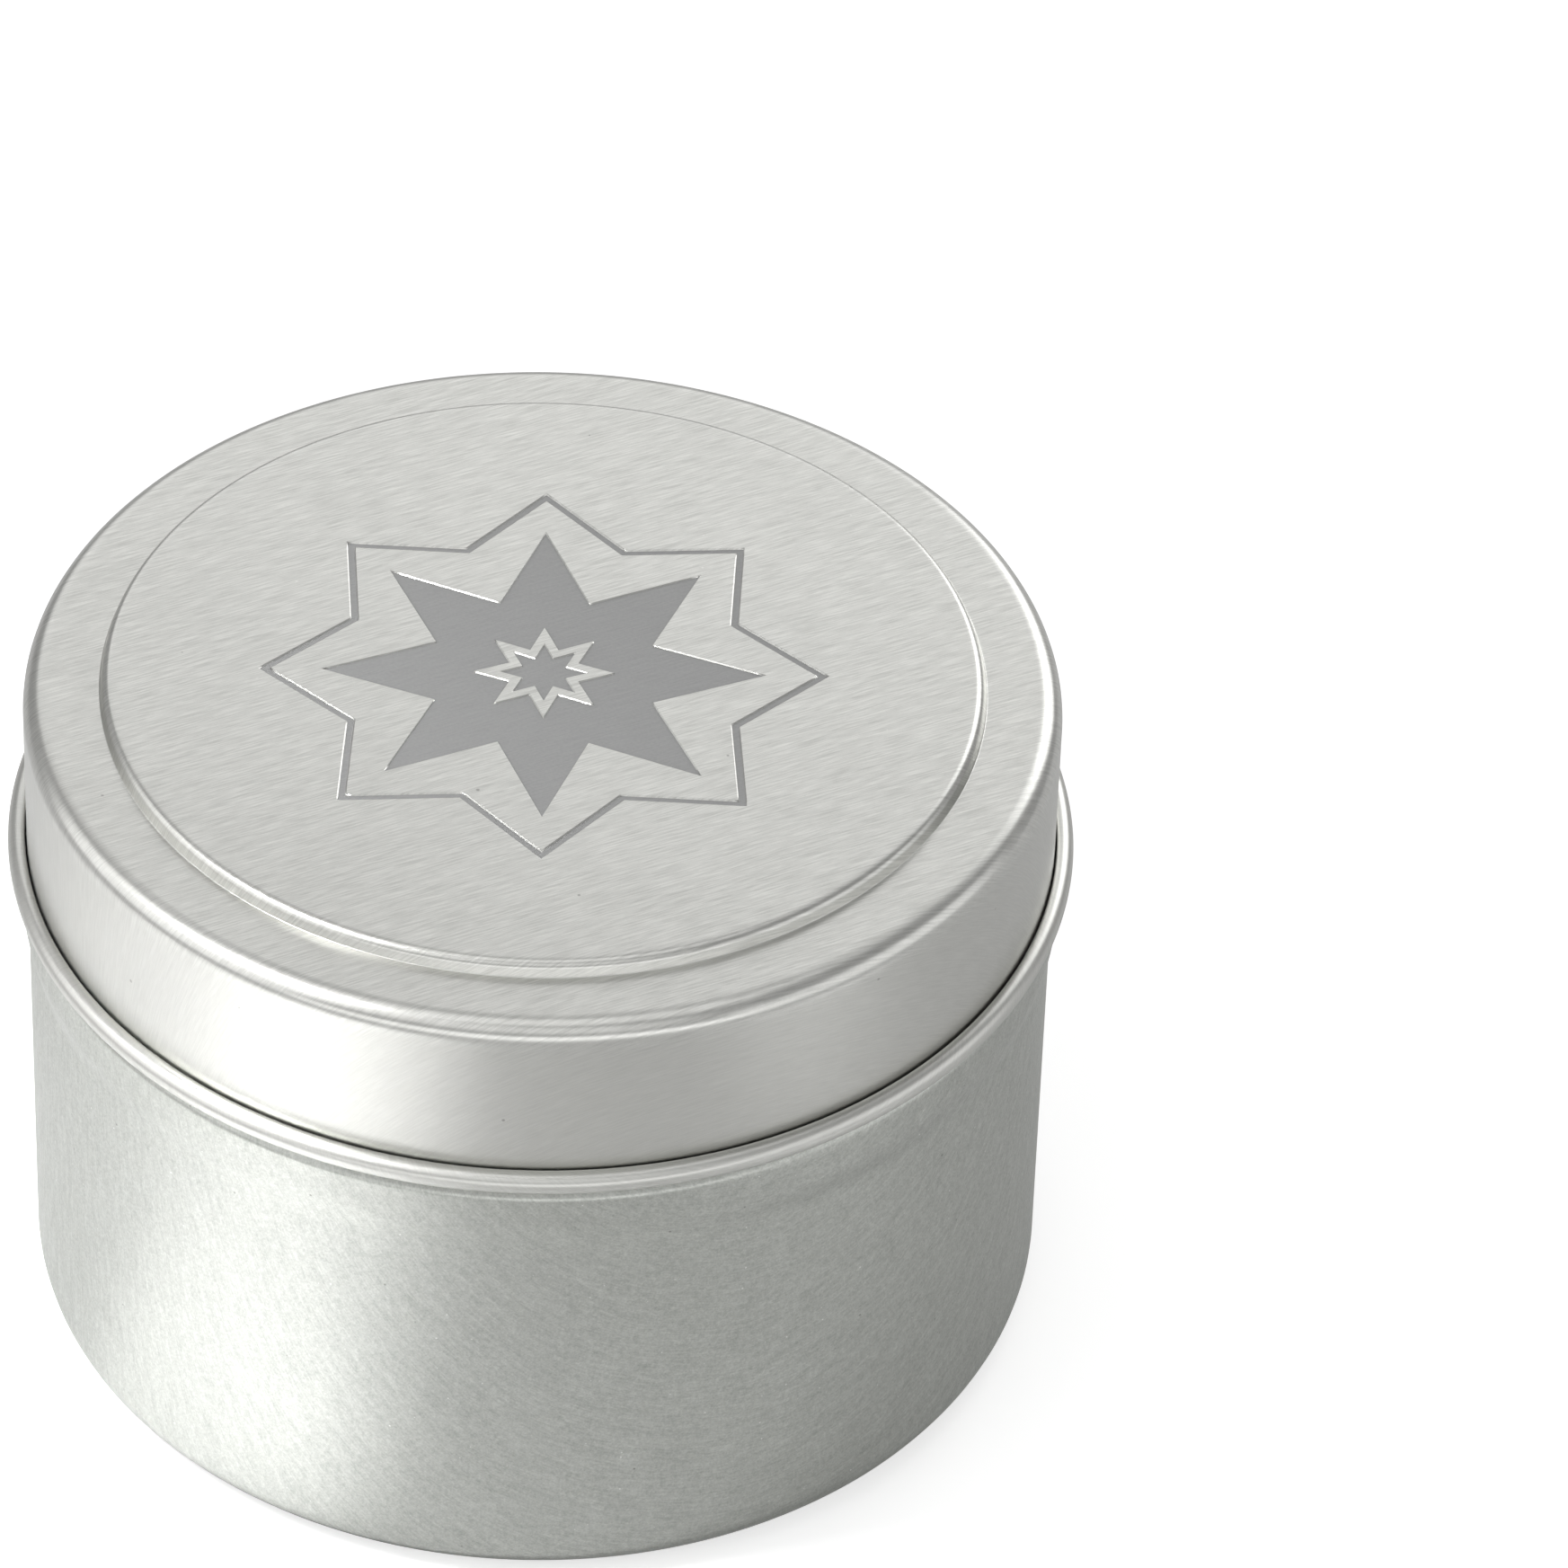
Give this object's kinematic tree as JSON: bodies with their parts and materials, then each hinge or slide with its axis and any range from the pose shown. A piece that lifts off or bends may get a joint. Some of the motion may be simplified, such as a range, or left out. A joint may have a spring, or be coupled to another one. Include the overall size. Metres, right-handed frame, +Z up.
{
  "type": "candle tin",
  "caption": "Round pressed tin with a slip-on lid that stops on a bead, holding a poured wax candle with an upright braided wick.",
  "frame": {"origin": "centre of the can's standing ring, at the bottom", "axes": "+Z up along the can's axis, -Y towards the side that is seen as the front"},
  "size_m": [0.065, 0.065, 0.0457],
  "materials": {
    "body_tinplate": "fine granular matt tinplate",
    "lid_tinplate": "brushed satin tinplate, straight rolling grain",
    "wax": "smooth satin cream wax",
    "wick_cotton": "waxed cotton braid",
    "tab_steel": "bright pressed steel",
    "foam_tape": "matt closed-cell foam"
  },
  "bodies": {
    "tin": {"tin_body": "body_tinplate", "wax_fill": "wax", "wick": "wick_cotton", "wick_sustainer": "tab_steel", "wick_sticker": "foam_tape"},
    "lid": {"lid": "lid_tinplate"}
  },
  "joints": [
    {"name": "lid_lift", "type": "slide", "parent": "tin", "child": "lid", "axis": [0, 0, 1], "range_m": [0, 0.06]}
  ]
}
